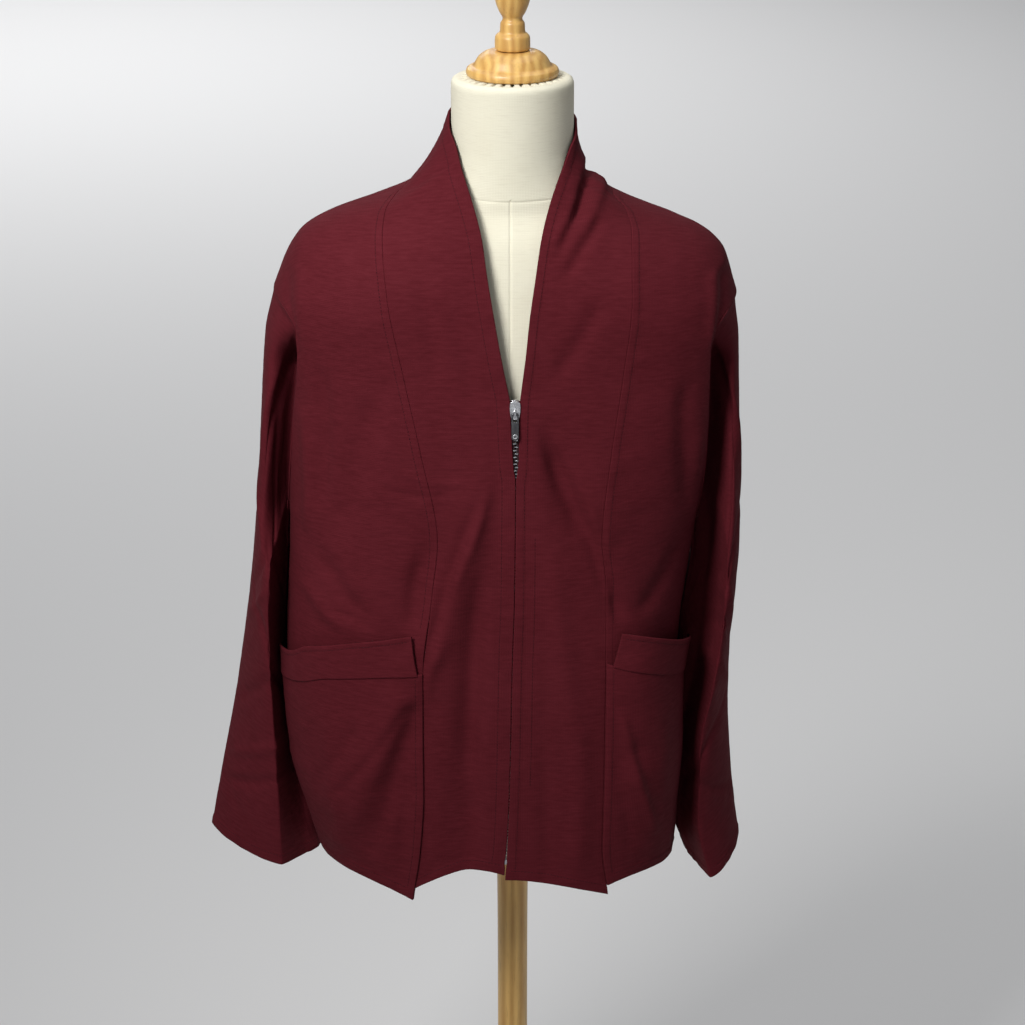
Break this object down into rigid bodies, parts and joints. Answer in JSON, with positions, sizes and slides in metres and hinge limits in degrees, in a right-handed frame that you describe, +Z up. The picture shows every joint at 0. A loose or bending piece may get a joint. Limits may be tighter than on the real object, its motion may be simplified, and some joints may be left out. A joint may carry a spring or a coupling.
{
  "type": "monk jacket on dress form",
  "caption": "Open-collar zip-front jacket with princess seams, patch pockets and flaring sleeves, worn by a limbless dress form on a round wooden stand.",
  "frame": {"origin": "centre of the underside of the stand's round base, on the floor", "axes": "+Z up; the jacket's front and its zip face -Y; +X is the wearer's left, the viewer's right"},
  "size_m": [0.547, 0.38, 1.5483],
  "materials": {
    "cloth": "matte slubbed crepe weave",
    "zip_tape": "matte woven tape",
    "zip_metal": "satin",
    "form_canvas": "matte plain canvas",
    "wood": "satin varnish"
  },
  "bodies": {
    "jacket_and_form": {"front_right": "cloth", "front_left": "cloth", "side_front_right": "cloth", "side_front_left": "cloth", "back": "cloth", "sleeve_right": "cloth", "sleeve_left": "cloth", "pocket_pouch_right": "cloth", "pocket_pouch_left": "cloth", "pocket_band_right": "cloth", "pocket_band_left": "cloth", "zip_tape_right": "zip_tape", "zip_tape_left": "zip_tape", "zip_chain": "zip_metal", "zip_bottom_stop": "zip_metal", "zip_slider": "zip_metal", "form_torso": "form_canvas", "form_neck_plate": "wood", "form_finial": "wood", "stand_pole": "wood", "stand_base": "wood"},
    "pull_tab": {"zip_pull": "zip_metal"}
  },
  "joints": [
    {"name": "zip_pull_hinge", "type": "hinge", "parent": "jacket_and_form", "child": "pull_tab", "pos_m": [0.00249, -0.1226, 1.13806], "axis": [-1, 0, 0], "range_deg": [0, 160]}
  ]
}
